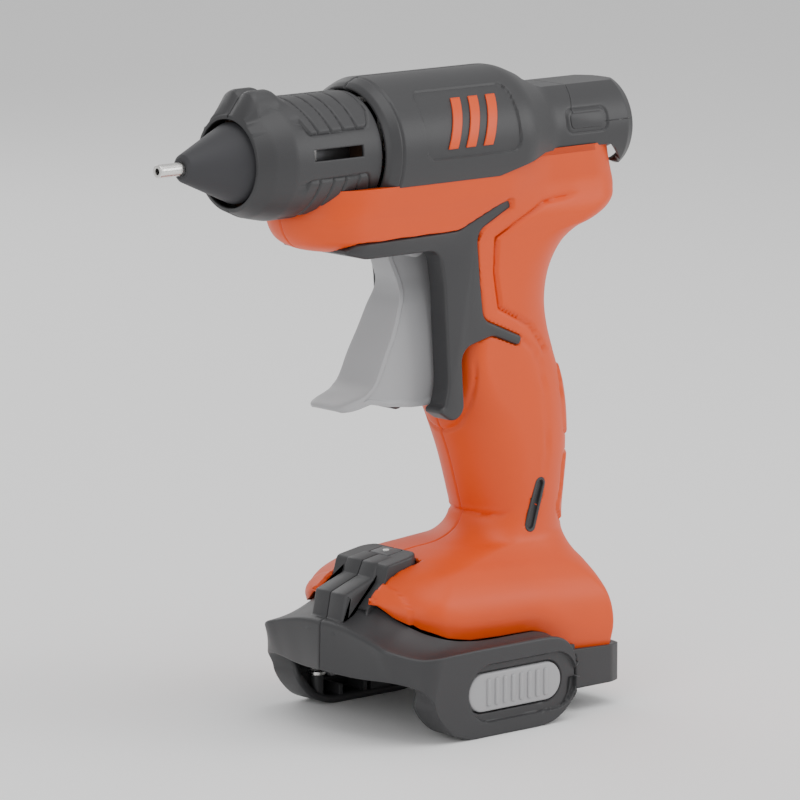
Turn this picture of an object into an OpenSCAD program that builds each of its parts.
// Cordless hot-melt glue gun, bare tool without its battery pack.
// Frame: +Z up, nozzle towards -X, origin under the middle of the tool on the surface it stands on.
// Left is -Y and right is +Y, as held.

/* [Barrel] */
// Height of the glue stick's axis above the table
barrel_z = 176.6; // [175:0.1:178]
// Front end of the steel nozzle
tip_x = -88.5; // [-89:0.1:-88]
// Rear end of the barrel
tail_x = 88.5; // [88:0.1:89]
// Outer radius of the barrel cover
cover_r = 21.8; // [21.6:0.1:22]
// Outer radius of the barrel's thin rear part
tail_r = 16.2; // [16:0.1:16.4]
// Outer radius of the heat shroud
shroud_r = 18.1; // [18:0.1:18.3]
// Radius of the stick inlet, for a 7 mm stick
stick_bore_r = 3.9; // [3.8:0.05:4]

/* [Nozzle] */
// Outer radius of the steel outlet tube
tip_r = 2.0; // [1.9:0.05:2.1]
// Radius of the outlet
outlet_r = 1.0; // [0.8:0.1:1.2]
// Radius of the aluminium melt chamber
chamber_r = 8.5; // [8:0.1:8.8]

/* [Trigger] */
// Pivot, distance behind the origin
pivot_x = 4; // [3.8:0.1:4.2]
// Pivot, height
pivot_z = 148; // [147.8:0.1:148.2]
// Radius of the trigger's lower edge about its pivot
trigger_r = 50.5; // [50:0.1:50.6]
// Half width of the trigger
trigger_half = 8.5; // [8.2:0.1:8.7]
// Height of the fork pin above the pivot
fork_arm = 18; // [17.9:0.1:18.1]
// Lean of the fork at rest, half of its swing
fork_lean = 11; // [11:0.5:11.5]

/* [Housing] */
// Wall thickness of the moulded shells
wall = 2.4; // [2.2:0.1:2.6]
// Half width over the release ears
ear_half = 38; // [37.8:0.1:38.2]
// Gap between moulded parts
gap = 0.15; // [0.1:0.05:0.2]

/* [Hidden] */
$fn = 48;
far = 400;
steel = [0.78, 0.77, 0.75];
orange = [0.93, 0.32, 0.10];
dark = [0.25, 0.25, 0.26];
light = [0.72, 0.72, 0.72];

// Sections of the orange body from its foot to its top. Each is a chord from a front point to a
// rear point, with the half width and the lengths over which its front and rear ends are rounded:
// [front x, front z, rear x, rear z, half width, front round, rear round]
body_rows = [
    [-19, 20, 70.5, 18, 30, 12, 6],
    [-19.5, 30, 71, 27, 30.5, 12, 6],
    [-18.5, 38, 71.3, 34, 29.5, 13, 8],
    [-15.5, 44, 71.5, 39, 27, 15, 12],
    [-9, 48.5, 70.8, 43, 23.5, 17, 16],
    [0, 51, 69, 46.3, 20, 20, 18],
    [10, 52.2, 67.6, 49.5, 17.6, 20, 19],
    [20, 53.2, 66.7, 53, 16, 20, 20],
    [27, 56.2, 66.3, 57, 15.4, 17, 19],
    [29.6, 61, 66.4, 61.5, 15.2, 16, 18],
    [28.3, 67, 67.2, 67.5, 15.5, 17, 19],
    [24.5, 79.5, 68.3, 77.5, 16.2, 19, 21],
    [20.3, 90, 68.2, 89, 16.4, 19, 22],
    [17.5, 98, 66.6, 99, 16.4, 14, 22],
    [16.5, 108, 63.4, 108, 16.4, 10, 22],
    [16.5, 118, 60.3, 117.5, 16.2, 10, 21],
    [16, 128, 59.1, 126, 16.2, 10, 20],
    [14, 137, 60.8, 135, 16.4, 10, 20],
    [9, 143.5, 65.5, 142.5, 16.6, 12, 20],
    [0, 146.6, 72, 147, 16.8, 14, 20],
    [-14, 147, 78.5, 149.6, 17, 15, 18],
    [-28, 147.4, 83, 152.2, 17.2, 15, 17],
    [-36, 149.2, 85.8, 155.3, 17.5, 16, 16],
    [-40, 152.5, 86.6, 158.2, 17.8, 17, 16],
    [-42, 157, 86.4, 161.5, 18.4, 18, 16],
    [-42.2, 161, 84.5, 165, 18.9, 18, 16],
    [-41.5, 166, 81.5, 168.3, 19.2, 18, 16],
    [-41, 172.6, 78.5, 173, 19.4, 18, 16]];

// Lower edge of the dark barrel cover, and so the upper edge of the orange body: [x, z]
cover_edge = [[-17, 166.8], [28, 166.8], [36, 169], [47.7, 172], [77, 172], [79.5, 170.6],
    [84, 166.2], [90, 163.2]];
// Edge between the orange body and the dark base housing: [x, z]
base_edge = [[-17, 40.6], [-14.6, 36.9], [-9.9, 33.2], [-1.5, 30], [7.8, 28.2], [20, 27.9],
    [33, 27.9], [38, 26.6], [43.6, 22.9], [48, 20], [74, 18.8]];
// Outline of the trigger surround as a side view: [x, z, corner radius]
surround_outline = [[-36, 147.6, 1], [-30, 150.9, 4], [13.7, 151.3, 5], [33.6, 159.4, 1.2],
    [35.4, 156.6, 1.2], [21.4, 150, 5], [22.8, 134, 10], [24.2, 123, 4], [39.9, 116.2, 1.2],
    [38.6, 113.6, 1.2], [28, 117.8, 6], [15.2, 114.8, 5], [16.4, 96, 4], [12.4, 92.4, 4],
    [5.6, 96.9, 1], [8.6, 98.2, 1], [10.2, 104, 20], [8.4, 135, 10], [6.6, 146, 5],
    [-22, 145.9, 8]];
// Side outline of the base housing without its ears: [x, z, corner radius]
nose_steps = [[-28.2, 19, 1], [-27, 33.4, 1.2], [-24.2, 35.6, 0.6], [-22.9, 42.9, 1],
    [-12.2, 46.8, 0.8], [-10.2, 51, 0.8], [-4.5, 51.6, 0.8], [-4.5, 40, 2], [-16, 19, 2]];

function unit(v) = v / norm(v);
// Outline with each corner turned into an arc; the points are [x, y, radius]
function rounded(points, steps = 5) = [for (i = [0:len(points) - 1])
    let (n = len(points), p = points[i], a = points[(i + n - 1) % n], b = points[(i + 1) % n],
        c = [p.x, p.y], u = unit([a.x, a.y] - c), v = unit([b.x, b.y] - c),
        half = acos(max(-1, min(1, u * v))) / 2, r = p.z)
    each (half > 88 || r <= 0) ? [c] :
        let (centre = c + unit(u + v) * r / sin(half),
            start = c + u * r / tan(half) - centre, end = c + v * r / tan(half) - centre)
        [for (k = [0:steps]) let (m = start * (1 - k / steps) + end * k / steps)
            centre + unit(m) * r]];

// Extrudes an x-z outline between two y planes
module side(points, y0, y1)
    translate([0, y1, 0]) rotate([90, 0, 0]) linear_extrude(y1 - y0) polygon(points);
// Extrudes a y-z outline between two x planes
module front(points, x0, x1)
    translate([x0, 0, 0]) rotate([90, 0, 90]) linear_extrude(x1 - x0) polygon(points);
// Turns a profile of [radius, x] points round the stick's axis
module barrel(points)
    translate([0, 0, barrel_z]) rotate([0, 90, 0]) rotate_extrude($fn = 96) polygon(points);
// Cylinder along the barrel
module rod(x0, x1, r, y = 0, z = barrel_z)
    translate([x0, y, z]) rotate([0, 90, 0]) cylinder(h = x1 - x0, r = r);
// Cylinder across the tool
module cross(x, z, y0, y1, r)
    translate([x, y1, z]) rotate([90, 0, 0]) cylinder(h = y1 - y0, r = r);
// Round-ended bar as a side view, between two points
module slot_side(a, b, r, y0, y1) {
    across = r * [-(b - a).y, (b - a).x] / norm(b - a);
    side([a + across, b + across, b - across, a - across], y0, y1);
    cross(a.x, a.y, y0, y1, r);
    cross(b.x, b.y, y0, y1, r);
}
module for_side(right) mirror([0, right ? 1 : 0, 0]) children();

// ---- orange body ----
arc_steps = 5;
// Points of one half section, from its front to its rear, taken in by t
function section(row, t, seam_y) =
    let (f = [row[0], row[1]], r = [row[2], row[3]], along = unit(r - f), long = norm(r - f),
        b = row[4] - t, wf = row[5] - t, wr = row[6] - t,
        places = concat([[t, seam_y]],
            [for (k = [0:arc_steps]) let (a = 90 * k / arc_steps)
                [t + wf * (1 - cos(a)), -b * sin(a)]],
            [for (k = [0:arc_steps]) let (a = 90 - 90 * k / arc_steps)
                [long - t - wr * (1 - cos(a)), -b * sin(a)]],
            [[long - t, seam_y]]))
    [for (q = places) [f.x + along.x * q[0], q[1], f.y + along.y * q[0]]];

// Half of the body's form, taken in by t; seam_y over 0 makes it a cutter that crosses the seam
module half_form(t = 0, seam_y = 0, rows = body_rows) {
    rings = [for (row = rows) section(row, t, seam_y)];
    trimmed = seam_y > 0 ? rings : [for (ring = rings) [for (i = [1:len(ring) - 2]) ring[i]]];
    m = len(trimmed[0]);
    n = len(trimmed);
    polyhedron(
        points = [for (ring = trimmed) each ring],
        faces = concat([[for (i = [0:m - 1]) i]],
            [for (j = [0:n - 2]) for (i = [0:m - 1]) let (k = (i + 1) % m)
                each [[j * m + i, (j + 1) * m + i, (j + 1) * m + k],
                    [j * m + i, (j + 1) * m + k, j * m + k]]],
            [[for (i = [m - 1:-1:0]) (n - 1) * m + i]]));
}
// Everything that lies above the orange body's upper edge
module above_body(g = 0) {
    side(concat([for (p = cover_edge) p - [0, g]], [[90, 230], [-17, 230]]), -40, 40);
    rod(-70, -16.5, shroud_r + 0.8);
}
// Screw bosses of the body: [x, z, length]
shell_bosses = [[38.5, 64, 10.6], [50, 97, 13.6], [49.6, 131, 12], [72, 158, 16],
    [-30, 153.8, 13.6], [32, 156, 14.8]];
// Prism between a front and a rear line, taken in by df and dr, out to the half width y
module span(front_line, rear_line, y, df, dr)
    side(concat([for (p = front_line) p + [df, 0]],
        [for (i = [len(rear_line) - 1:-1:0]) rear_line[i] - [dr, 0]]), -y, 1);
// Space inside one half of the body: nested prisms in its top, its handle and its foot
module body_hollow() {
    intersection() {
        for (b = [[17, 13, 13], [12.4, 5, 6], [7, 2.6, 3]])
            span([[-41, 180], [-42, 160], [-39.8, 154], [-35, 151.2], [-28, 149.9], [12, 149.9]],
                [[79, 180], [84, 166], [86, 160.6], [85, 157], [80, 153.6], [70, 149.9]],
                b[0], b[1], b[2]);
        front([[1, 130], [-11, 130], [-12.2, 150], [-15.6, 157], [-16.6, 166], [-16.9, 180],
            [1, 180]], -60, 90);
    }
    for (b = [[13, 11, 13], [9.6, 6, 7.4], [5.4, 2.6, 3]])
        span([[11, 150], [15.6, 138], [16.4, 126], [16.5, 108], [17.8, 98], [24.6, 80], [28.4, 67],
            [29.6, 61], [29.6, 44]],
            [[70, 150], [60.8, 136], [59.2, 126], [60.2, 118], [63.2, 108.6], [66.6, 98],
            [68, 88.6], [68, 78], [66.4, 63], [66.4, 44]], b[0], b[1], b[2]);
    intersection() {
        for (b = [[27.4, 12.4, 12], [21, 6, 7.4], [13.6, 4, 5.8], [7, 2.6, 2.8]])
            span([[-18, 10], [-17, 39], [-11, 44.6], [-5, 46.4]],
                [[70.5, 10], [71, 34], [70, 43], [68.6, 46.4]], b[0], b[1], b[2]);
        front([[1, 10], [-27.4, 10], [-27.4, 34], [-24.4, 40], [-19, 45], [-17, 46.4],
            [1, 46.4]], -60, 90);
    }
}
module shell_blank() {
    difference() {
        half_form();
        body_hollow();
        above_body(gap);
    }
    for (p = shell_bosses) cross(p.x, p.y, -p.z, -0.1, 3.4);
    cross(pivot_x, pivot_z, -15.6, -12.95, 4.4);
}
// Slot that the trigger swings in
module trigger_way() {
    half = trigger_half + 0.9;
    translate([-8, -half, 96.6]) cube([38, 2 * half, 54]);
}
// Space at the front of the foot that the base housing's dark nose takes
module nose_way() plan_shape(rounded([[-40, -12.25, 0], [3.4, -12.25, 5], [3.4, 1, 0],
    [-40, 1, 0]]), 0, 60);
module body_shell(right) color(orange) for_side(right) difference() {
    shell_blank();
    trigger_way();
    nose_way();
    side(concat([for (p = base_edge) p + [0, gap]], [[90, 18.95], [90, 0], [-60, 0], [-60, 40.6]]),
        -50, 50);
    side(rounded(surround_outline), -30, -15.2);
    side([[-45, 145], [20, 145], [20, 150], [-45, 150]], -13, 1);
    side([[5.4, 90], [15.2, 90], [15.2, 147.9], [5.4, 147.9]], -15.6, -9.4);
    for (p = shell_bosses) cross(p.x, p.y, 2 - p.z, 1, right ? 1.7 : 1.45);
    if (right) for (p = shell_bosses) cross(p.x, p.y, -30, 2.4 - p.z, 3.0);
    cross(pivot_x, pivot_z, -13.7, 1, 2.02);
    slot_side([48.4, 69.4], [44.6, 56.9], 2.0, -30, -10);
    translate([64, -2.1, 76.9]) cube([10, 4.2, 7.2]);
}
module body_shell_left() body_shell(false);
module body_shell_right() body_shell(true);

// ---- dark surround of the trigger ----
// Plan of the surround: it narrows to the rounded front of the body
surround_plan = [[-36.2, -6.5], [-33.5, -10], [-31.6, -13], [-27.8, -15.4], [-22, -16.3], [0, -16.9],
    [50, -17.2], [50, 1], [-36.2, 1]];
module trigger_surround(right) color(dark) for_side(right) difference() {
    intersection() {
        union() {
            intersection() {
                side(rounded([for (p = surround_outline) p]), -16.9, -15.35);
                translate([-37, -30, 90]) cube([77, 30, 69]);
            }
            side([[5.9, 97.5], [8.5, 98.4], [10.2, 104], [8.4, 135], [6.6, 146.2], [15, 147.6],
                [15, 98]], -15.35, -9.6);
            side([[-34.5, 149.85], [-30, 146.3], [-7, 146], [14, 146], [14, 149.85]], -12.8, 0);
        }
        plan_shape(surround_plan, 80, 170);
    }
    translate([-7.5, -9.6, 90]) cube([38, 10, 70]);
    cross(pivot_x, pivot_z, -14, 1, 2.02);
}
module trigger_surround_left() trigger_surround(false);
module trigger_surround_right() trigger_surround(true);

// ---- barrel cover ----
cover_out = [[18.9, -17], [20.8, -15.6], [cover_r, -12], [cover_r, 40], [tail_r, 54],
    [tail_r, 84], [14.6, 87.4], [13, tail_x]];
cover_in = [[8.1, tail_x], [8.1, 86], [5.3, 86], [5.3, 84.5], [tail_r - 2.2, 84.5],
    [tail_r - 2.2, 52.6], [cover_r - wall, 38.6], [cover_r - wall, -14.5], [16.6, -14.5],
    [16.6, -17]];
cover_bosses = [[-9, 191.6], [37.5, 190.6]];
module badge_outline(grow = 0) side(rounded([[-3 - grow, 174 - grow, 3], [35 + grow, 174 - grow, 3],
    [35 + grow, 194.4 + grow, 3], [-3 - grow, 194.4 + grow, 3]]), -30, 0);
// Seam of the rear top cap: [x, z]
cap_seam = [[64.6, 191], [61.6, 184], [61.2, 179.2], [95, 179.2], [95, 215], [64.6, 215]];
// Flat roof of the thin rear part
module roof_cut() translate([47, -8, 190.4]) cube([37, 16, 12]);
module pill_outline(grow = 0)
    slot_side([62.2, 180.2], [71.8, 180.2], 3.6 + grow, -30, 0);
module barrel_cover(right) color(dark) for_side(right) difference() {
    union() {
        barrel(concat(cover_out, cover_in));
        intersection() {
            for (p = cover_bosses) cross(p.x, p.y, -12, -0.1, 3.2);
            rod(-30, 60, cover_r - 1);
        }
    }
    translate([-50, 0, 100]) cube([200, 60, 150]);
    side(concat([for (p = cover_edge) p], [[100, 100], [-30, 100], [-30, 166.8]]), -40, 40);
    intersection() {
        badge_outline(gap);
        barrel([[cover_r - 0.9, -20], [30, -20], [30, 60], [cover_r - 0.9, 60]]);
    }
    intersection() {
        pill_outline(gap);
        barrel([[tail_r - 0.8, 50], [30, 50], [30, 90], [tail_r - 0.8, 90]]);
    }
    roof_cut();
    side([for (p = cap_seam) p - [gap, gap]], -40, 40);
    for (p = cover_bosses) cross(p.x, p.y, -8.5, 1, right ? 1.5 : 1.25);
    if (right) for (p = cover_bosses) cross(p.x, p.y, -30, -7, 2.5);
}
module barrel_cover_left() barrel_cover(false);
module barrel_cover_right() barrel_cover(true);

module inlet_top_cap() color(dark) difference() {
    intersection() {
        barrel(concat(cover_out, cover_in));
        side(cap_seam, -40, 40);
    }
    roof_cut();
    for (right = [0, 1]) for_side(right == 1) intersection() {
        pill_outline(gap);
        barrel([[tail_r - 0.8, 50], [30, 50], [30, 90], [tail_r - 0.8, 90]]);
    }
}
module side_badge(right) color(orange) for_side(right) intersection() {
    badge_outline();
    barrel([[cover_r - 0.75, -20], [cover_r + 0.15, -20], [cover_r + 0.15, 60],
        [cover_r - 0.75, 60]]);
}
module side_badge_left() side_badge(false);
module side_badge_right() side_badge(true);
module size_badge(right) color(light) for_side(right) intersection() {
    pill_outline();
    barrel([[tail_r - 0.65, 50], [tail_r + 0.15, 50], [tail_r + 0.15, 90], [tail_r - 0.65, 90]]);
}
module size_badge_left() size_badge(false);
module size_badge_right() size_badge(true);

// ---- heat shroud ----
module heat_shroud(right) color(dark) for_side(right) difference() {
    union() {
        barrel([[13, -62.2], [14.2, -61.8], [15.3, -60], [16.5, -56], [17.5, -50.5],
            [shroud_r, -45], [shroud_r, -17.3], [16.3, -17.3], [16.3, -45.2], [15.6, -50.8],
            [14.6, -56.2], [13, -59.5]]);
        intersection() {
            side(rounded([[-61.8, 187, 0.5], [-60.6, 190.6, 1.5], [-57.4, 193.6, 2],
                [-55.8, 197.6, 1.6], [-52.6, 198.8, 2.5], [-49.6, 197.6, 2], [-46.8, 194.4, 2],
                [-42.5, 193.2, 0.5], [-42.5, 187, 0.5]]), -8, 0);
            rod(-64, -42, 21.6);
        }
        intersection() {
            barrel([for (i = [0:4]) each [[17, -44.6 + 4.5 * i], [shroud_r + 0.7, -44.6 + 4.5 * i],
                [shroud_r + 0.7, -42.2 + 4.5 * i], [17, -42.2 + 4.5 * i]]]);
            union() {
                side([[-50, 186], [-15, 186], [-15, 230], [-50, 230]], -40, 0);
                side([[-50, 120], [-15, 120], [-15, 171.6], [-50, 171.6]], -40, 0);
            }
        }
    }
    barrel([[0, -70], [12.9, -70], [12.9, -59.4], [14.5, -56.1], [15.5, -50.7], [16.2, -45.1],
        [16.2, -10], [0, -10]]);
    translate([-80, 0, 100]) cube([100, 60, 150]);
    slot_side([-42.4, 178.5], [-26.6, 178.5], 1.5, -40, -5);
}
module heat_shroud_left() heat_shroud(false);
module heat_shroud_right() heat_shroud(true);

// ---- nozzle and melt chamber ----
module nozzle_cone() color(dark) barrel([[1.75, -79.4], [3.3, -79.5], [4, -79.1],
    [12, -60.2], [12, -56.6], [9.4, -56.6], [8.8, -60.2], [5.3, -67.5], [5.3, -71],
    [1.75, -71]]);
module nozzle_tip() color(steel) barrel([[outlet_r, tip_x], [tip_r, tip_x], [tip_r, -79.55],
    [1.7, -79.45], [1.7, -66], [1.4, -65], [outlet_r, -65]]);
module melt_chamber() color([0.8, 0.8, 0.78]) difference() {
    barrel([[1.6, -70.5], [4.9, -70.5], [4.9, -67.8], [chamber_r, -59.8], [chamber_r, -18.6],
        [5.2, -18.6], [5.2, -13], [3.9, -13], [3.8, -55], [1.6, -62]]);
    rod(-71, -65, 1.75);
    translate([-50, -10, 160]) cube([22, 20, 9.5]);
}
module heater_element() color([0.85, 0.83, 0.78]) translate([-49.8, -6, 165.2]) cube([21.6, 12, 4.2]);
module heater_clip() color(steel) difference() {
    translate([-42, -9.6, 163.9]) cube([6, 19.2, 22.4]);
    translate([-43, -8.7, 165]) cube([8, 17.4, 20.3]);
}
module thermal_fuse() color(steel) rod(-33, -24, 1.6, 0, barrel_z + chamber_r + 1.7);
module chamber_holder_front() color([0.6, 0.42, 0.3])
    barrel([[chamber_r + 0.05, -55], [14.4, -55], [14.4, -52], [chamber_r + 0.05, -52]]);
module chamber_holder_rear() color([0.6, 0.42, 0.3]) difference() {
    barrel([[chamber_r + 0.05, -22.2], [16.1, -22.2], [16.1, -17.6], [6, -17.6], [6, -18.5],
        [chamber_r + 0.05, -18.5]]);
    translate([-23, -6.5, 155]) cube([8, 13, 11.2]);
    for (y = [-rod_y, rod_y]) rod(-21, -10, rod_r + 0.02, y, rod_z);
}
module inlet_sleeve() color([0.7, 0.2, 0.15])
    barrel([[5.25, -17.4], [6.6, -17.4], [6.6, -8], [4.1, -8], [4.1, -12.8], [5.25, -12.8]]);
module sleeve_clamp() color(steel)
    barrel([[6.62, -16.6], [7.3, -16.6], [7.3, -14.2], [6.62, -14.2]]);

// ---- stick feed ----
rod_y = 12.2;
rod_z = 176.6;
rod_r = 1.5;
fork_x = pivot_x + fork_arm * sin(fork_lean);
fork_z = pivot_z + fork_arm * cos(fork_lean);
carriage_x = 1.5;
module stick_inlet_bush() color(dark)
    barrel([[stick_bore_r, 36], [5.2, 36], [5.2, 86.2], [8, 86.2], [8, 87.9], [7.4, tail_x],
        [4.6, tail_x], [stick_bore_r, 87.5]]);
module guide_holder() color([0.6, 0.42, 0.3]) difference() {
    translate([38, -15.4, 168.2]) cube([3, 30.8, 18.6]);
    rod(30, 50, 5.25);
    for (y = [-rod_y, rod_y]) rod(30, 40, rod_r + 0.02, y, rod_z);
}
module guide_rods() color(steel) for (y = [-rod_y, rod_y]) rod(-20.9, 39.9, rod_r, y, rod_z);
module feed_carriage() color([0.85, 0.85, 0.82]) difference() {
    union() {
        translate([carriage_x, -15, 172.2]) cube([14, 30, 8.8]);
        translate([carriage_x, -6.6, 180]) cube([3.1, 13.2, 9]);
        for (y = [-6.6, 4.1]) translate([carriage_x, y, 180]) cube([14, 2.5, 9]);
        translate([fork_x - 4.2, -4.9, fork_z - 3.4]) cube([8.4, 9.8, 10]);
    }
    rod(-10, 40, 4.1);
    for (y = [-rod_y, rod_y]) rod(-10, 40, rod_r + 0.05, y, rod_z);
    translate([fork_x - 1.3, -6, fork_z - 6]) cube([2.6, 12, 8.2]);
    translate([carriage_x + 3.1, -4.1, 178]) cube([12, 8.2, 8]);
    cross(12, 187, -8, 8, 1.02);
}
module gripper_pin() color(steel) cross(12, 187, -6.5, 6.5, 1.0);
module stick_gripper() color(steel) difference() {
    side(rounded([[13.9, 186, 1], [12, 189.2, 2.2], [9.5, 187.8, 1], [6, 182, 0.4], [6.2, 180.9, 0],
        [7.4, 181.2, 0], [8.4, 180.9, 0], [12, 184.2, 2]]), -3.8, 3.8);
    cross(12, 187, -8, 8, 1.05);
}

// ---- trigger ----
trigger_side = [[-1, 147.5, 3], [-4.6, 143, 3], [-1.2, 137, 6], [-0.2, 134, 6], [-3.4, 126, 14],
    [-9.2, 114.5, 20], [-14.6, 105.2, 6], [-23.6, 101.8, 1.4], [-25.6, 100, 0.8], [-24, 98.9, 0.8],
    [-14, 100.4, 3], [-6.6, 98.6, 20], [4, 97.5, 20], [9.6, 97.9, 10], [14, 98.6, 0.8],
    [14.2, 101.4, 0.8], [13.2, 104, 3], [12.8, 140, 8], [12.5, 147.5, 4]];
trigger_front = [[-5.2, 150], [-4.2, 144], [-4.8, 136], [-7, 128.5], [-7.9, 121], [-8.4, 114],
    [-8.5, 96], [8.5, 96], [8.4, 114], [7.9, 121], [7, 128.5], [4.8, 136], [4.2, 144], [5.2, 150]];
module trigger() color(light) difference() {
    union() {
        difference() {
            intersection() {
                side(rounded(trigger_side), -12, 12);
                front(trigger_front, -40, 40);
                plan_shape(rounded([[-25.8, -4.6, 3], [-20, -8.6, 4], [20, -8.6, 0], [20, 8.6, 0],
                    [-20, 8.6, 4], [-25.8, 4.6, 3]]), 90, 160);
            }
            side([[1.5, 142], [2.2, 134], [-1, 126], [-7, 114], [-10.5, 105], [-10, 103], [4, 101],
                [20, 103.5], [20, 142]], -3.2, 3.2);
            side([[-2.4, 119], [-7, 108], [-7, 103.2], [4, 101], [20, 103.5], [20, 119]], -6.4, 6.4);
        }
        cross(pivot_x, pivot_z, -trigger_half, trigger_half, 4.8);
        for (y = [-8, 5.4]) slot_side([pivot_x, pivot_z], [fork_x, fork_z], 2.9, y, y + 2.6);
    }
    cross(pivot_x, pivot_z, -20, 20, 2.04);
    cross(fork_x, fork_z, -20, 20, 1.27);
    slot_side([pivot_x + 2.6, pivot_z + 8.4], [pivot_x + 6, pivot_z + 30], 2.9, -5.3, 5.3);
}
module trigger_pin() color(steel) cross(pivot_x, pivot_z, -13.6, 13.6, 2.0);
module fork_pin() color(steel) cross(fork_x, fork_z, -8, 8, 1.25);

// Ring round a point of a path, square to the way that the path goes
function ring(path, i, r, n, ref) =
    let (a = path[max(i - 1, 0)], b = path[min(i + 1, len(path) - 1)], t = unit(b - a),
        u = unit(cross(ref, t)), v = cross(t, u))
    [for (k = [0:n - 1]) path[i] + r * (cos(360 * k / n) * u + sin(360 * k / n) * v)];
// Round bar along a path; ref is a direction that the path never takes
module tube(path, r, n = 8, ref = [0, 1, 0]) {
    m = len(path);
    polyhedron(
        points = [for (i = [0:m - 1]) each ring(path, i, r, n, ref)],
        faces = concat([[for (k = [n - 1:-1:0]) k]],
            [for (i = [0:m - 2]) for (k = [0:n - 1]) let (l = (k + 1) % n)
                each [[i * n + k, i * n + l, (i + 1) * n + l],
                    [i * n + k, (i + 1) * n + l, (i + 1) * n + k]]],
            [[for (k = [0:n - 1]) (m - 1) * n + k]]));
}
function coil(length, r, turns, steps = 12) = [for (i = [0:turns * steps])
    let (a = 360 * i / steps, t = i / (turns * steps), closed = t - sin(720 * t) / 14)
    [length * closed, r * cos(a), r * sin(a)]];
module return_springs() color(steel) for (y = [-rod_y, rod_y])
    translate([-17.1, y, rod_z]) tube(coil(17.9, 2.15, 8), 0.35, 6, [1, 0, 0]);

// ---- base housing ----
plan = [[-27.8, 0.5], [-27.6, -5], [-26.9, -17], [-26.2, -27], [-24.9, -29], [-20.5, -32.2],
    [-13.6, -36.6], [-13, -31], [64, -31], [68.4, -29.8], [70.4, -26], [70.9, 0.5]];
module plan_shape(points, z0, z1) translate([0, 0, z0]) linear_extrude(z1 - z0) polygon(points);
nose_top = [[-28.4, 19], [-27.2, 34.2], [-17, 40.3], [-14.6, 36.7], [-9.9, 33], [-1.5, 29.8],
    [7.8, 28], [20, 27.7], [33, 27.7], [38, 26.4], [43.6, 22.7], [48, 19.8], [74, 18.6],
    [74, 7.4], [49.4, 7.4], [49.4, 19]];
ear_outline = [[-14.2, 0, 16.5], [43.3, 0, 14.5], [43.3, 27.6, 9], [-14.2, 27.6, 3]];
ear_pocket = [[-11.6, 2.4, 13.5], [40.8, 2.4, 12], [40.8, 21.4, 3], [-11.6, 21.4, 3]];
base_bosses = [[-20.5, 26.5], [63.2, 14.2]];
post = [-3.5, -29.4];
// The nose's top falls away to the sides, and its front is undercut towards its corners
module nose_slope(drop = 0) translate([-26.9, -8, 34.1 - drop]) rotate([12.4, -23.8, 0])
    translate([-20, -60, 0]) cube([80, 60, 40]);
module nose_undercut() translate([-25, -12, 19]) rotate([12.28, -114.8, 0])
    translate([-40, -60, 0]) cube([80, 120, 30]);
module base_housing(right) color(dark) for_side(right) difference() {
    union() {
        difference() {
            intersection() {
                plan_shape(plan, 0, 60);
                side(nose_top, -50, 0);
            }
            nose_slope();
            nose_undercut();
            difference() {
                intersection() {
                    plan_shape([[-25.2, 1], [-25, -4], [-23, -14], [-20, -20], [-17.6, -26],
                        [-15, -28.6], [63.6, -28.6], [67, -27.6], [68.2, -25], [68.5, 1]], 0, 60);
                    side([[-25.8, 21.4], [-24.9, 31.6], [-16.8, 37.6], [-13, 40], [80, 60],
                        [80, 9.8], [51.8, 9.8], [51.8, 21.4]], -50, 2);
                }
                nose_slope(2.4);
            }
        }
        difference() {
            side(rounded(nose_steps), -8, 0);
            side([[-26, 21.4], [-24.6, 31.6], [-20.2, 40.4], [-10.2, 44.4], [-6, 48.4], [-6, 30],
                [-10, 21.4]], -5.8, 1);
        }
        difference() {
            intersection() {
                side([[-17.5, 39.6], [-11.8, 45.4], [-10.2, 50.9], [3.1, 53.1], [3.1, 50.2],
                    [-8, 38]], -12.05, 0);
                plan_shape(rounded([[-19, -12.05, 3], [3.1, -12.05, 5], [3.1, 1, 0],
                    [-19, 1, 0]]), 0, 60);
            }
            side([[-13.4, 40], [-8.6, 46], [-7.6, 48.6], [4, 50.4], [4, 30]], -9.8, 1);
        }
        side(rounded(ear_outline), -ear_half, -27);
        for (p = base_bosses) cross(p.x, p.y, p.x < 0 ? -19 : -29.6, -0.1, 3);
    }
    intersection() {
        side(rounded(ear_pocket), -ear_half + 2.4, -26);
        union() {
            translate([-20, -60, 0]) cube([70, 60, 19]);
            translate([-20, -60, 0]) cube([70, 29.2, 40]);
        }
    }
    slot_side([5.85, 13.65], [31.65, 13.65], 6.1, -60, -34);
    slot_side([8.6, 13.4], [34.5, 13.4], 9, -60, -36.9);
    translate([45, -15.2, 9.9]) cube([10, 20, 8.3]);
    for (p = base_bosses) cross(p.x, p.y, p.x < 0 ? -17.2 : -26.2, 1, right ? 1.7 : 1.45);
    if (right) for (p = base_bosses) cross(p.x, p.y, -60, p.x < 0 ? -17 : -26, 3.2);
    translate([-3.8, -4.6, 46]) cube([6.1, 10, 12]);
    translate([-50, 0, -5]) cube([200, 60, 150]);
}
module base_ribs(right) for_side(right) {
    translate([post.x, post.y, 2.2]) cylinder(h = 7.4, r = 2.1);
    for (x = [4, 14, 27, 36]) translate([x, -35.9, 2]) cube([1.4, 8.6, 3.6]);
    translate([17, -28.8, 2]) cube([8, 1.7, 17.4]);
    for (x = [-6, 40]) translate([x, -18, 20.4]) cylinder(h = 3.95, r = 2.4);
    translate([-3.8, -10.4, 41]) cube([6, 10.3, 1.5]);
}
module base_housing_left() {
    base_housing(false);
    color(dark) base_ribs(false);
}
module base_housing_right() {
    base_housing(true);
    color(dark) base_ribs(true);
}
module post_caps() color(steel) for (y = [post.y, -post.y])
    translate([post.x, y, 9.65]) cylinder(h = 1.5, r = 2.8);

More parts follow.
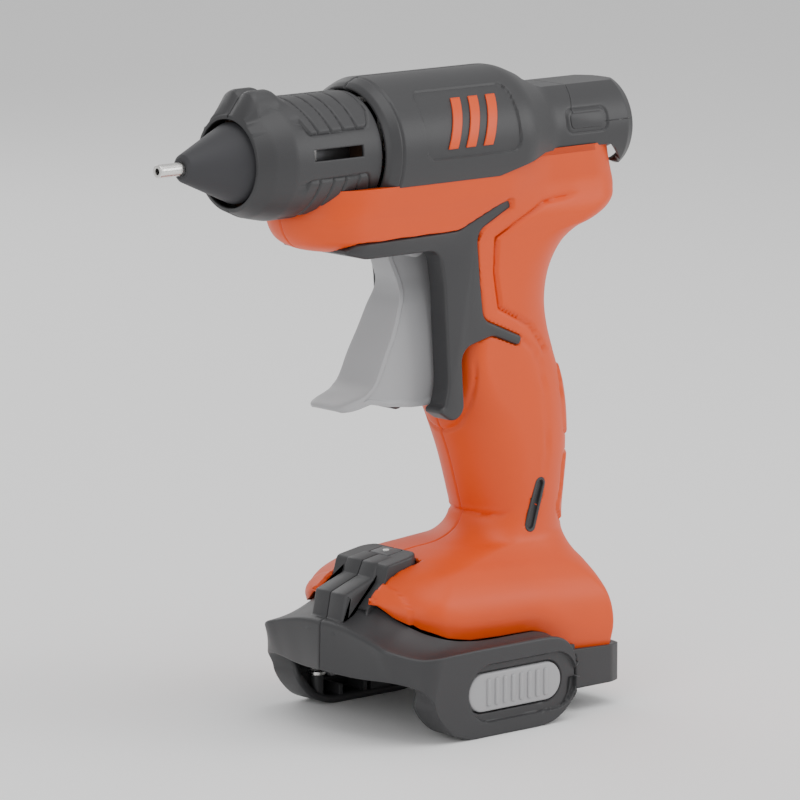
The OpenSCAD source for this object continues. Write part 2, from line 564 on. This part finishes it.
module release_button(right) color(light) for_side(right) {
    difference() {
        union() {
            slot_side([5.85, 13.65], [31.65, 13.65], 5.85, -37.3, -34.9);
            for (i = [0:7]) translate([7.2 + 3.3 * i, -37.9, 9.4]) cube([1.5, 1, 8.5]);
            translate([5, -34.95, 6.9]) cube([32.4, 1.5, 13.5]);
        }
        translate([-10, -60, -5]) cube([80, 22.0, 60]);
    }
}
module release_button_left() release_button(false);
module release_button_right() release_button(true);
module release_spring(right) color(steel) for_side(right)
    translate([21, -29.15, 13.4]) rotate([0, 0, -90]) tube(coil(3.9, 2.8, 4), 0.3, 6, [1, 0, 0]);
module release_spring_left() release_spring(false);
module release_spring_right() release_spring(true);

module power_button() color([0.33, 0.33, 0.34]) difference() {
    intersection() {
        translate([-3.6, -4.4, 49]) cube([5.7, 8.8, 6]);
        rotate([0, -9, 0]) translate([-3, -10, 49.9]) cube([20, 20, 2.6]);
    }
    translate([-0.6, 0, 51.55]) cylinder(h = 4, r = 1.03);
}
module button_lens() color([0.9, 0.9, 0.85]) translate([-0.6, 0, 51.6]) cylinder(h = 1.6, r = 1);
module switch_body() color(dark) translate([-3.4, -3, 42.6]) cube([5.2, 6, 5]);
module control_board() color([0.1, 0.4, 0.2]) translate([-12, -24, 24.4]) cube([66, 48, 1.6]);
module terminal_block() color(dark) translate([46.2, -15, 10.05]) cube([13, 30, 8]);
module terminal_blades() color([0.85, 0.65, 0.3]) for (y = [-11, -4.2, 3.4, 10.2])
    translate([37.5, y, 11.6]) cube([8.6, 0.8, 5]);
module shell_screws() color(steel) {
    for (p = shell_bosses) {
        cross(p.x, p.y, 2.4 - p.z, p.z - 2.4, 1.42);
        cross(p.x, p.y, p.z - 2.38, p.z - 0.4, 2.75);
    }
    for (p = cover_bosses) {
        cross(p.x, p.y, -8.2, 7, 1.22);
        cross(p.x, p.y, 7.02, 8.8, 2.3);
    }
}
module base_screws() color(steel) for (p = base_bosses) {
    head = p.x < 0 ? 17 : 26;
    cross(p.x, p.y, 1 - head, head, 1.42);
    cross(p.x, p.y, head + 0.02, head + 2.4, 2.9);
}
module slot_liner(right) color(dark) for_side(right) difference() {
    slot_side([48.4, 69.4], [44.6, 56.9], 1.9, -15.3, -11);
    slot_side([48.4, 69.4], [44.6, 56.9], 1.1, -20, -11.9);
}
module slot_liner_left() slot_liner(false);
module slot_liner_right() slot_liner(true);
module rear_inlay() color(dark) translate([66.2, -2, 77]) cube([2.2, 4, 7]);

// Route of one heater lead, up the handle and forward to the heater
lead_route = [[37, 27.1, 9], [43, 27.8, 9.6], [46, 32, 10.4], [45.5, 60, 9.9], [45.5, 110, 9.9],
    [44.5, 140, 9.9], [42, 155, 9.9], [36, 161.2, 11], [20, 161.6, 11], [-6, 161.6, 11],
    [-14, 162.3, 7.6], [-18, 163, 4.8], [-22.6, 163.4, 4.4], [-25.6, 165, 4.4], [-27.7, 166.6, 4.4]];
module heater_leads() color([0.85, 0.85, 0.8]) for (s = [-1, 1])
    tube([for (p = lead_route) [p.x, s * p.z, p.y]], 0.9, 8, [0, 1, 0]);
module battery_leads() color([0.7, 0.1, 0.1]) for (y = [-6, 6])
    tube([[57, y, 18.7], [56, y, 20.5], [52, y, 21.8], [49, y, 22.5], [48, y, 23.4]], 1, 8);

body_shell_left();
body_shell_right();
trigger_surround_left();
trigger_surround_right();
barrel_cover_left();
barrel_cover_right();
inlet_top_cap();
side_badge_left();
side_badge_right();
size_badge_left();
size_badge_right();
heat_shroud_left();
heat_shroud_right();
nozzle_cone();
nozzle_tip();
melt_chamber();
heater_element();
heater_clip();
thermal_fuse();
chamber_holder_front();
chamber_holder_rear();
inlet_sleeve();
sleeve_clamp();
stick_inlet_bush();
guide_holder();
guide_rods();
feed_carriage();
stick_gripper();
gripper_pin();
trigger();
trigger_pin();
fork_pin();
return_springs();
base_housing_left();
base_housing_right();
post_caps();
release_button_left();
release_button_right();
release_spring_left();
release_spring_right();
power_button();
button_lens();
switch_body();
control_board();
terminal_block();
terminal_blades();
slot_liner_left();
slot_liner_right();
rear_inlay();
shell_screws();
base_screws();
heater_leads();
battery_leads();
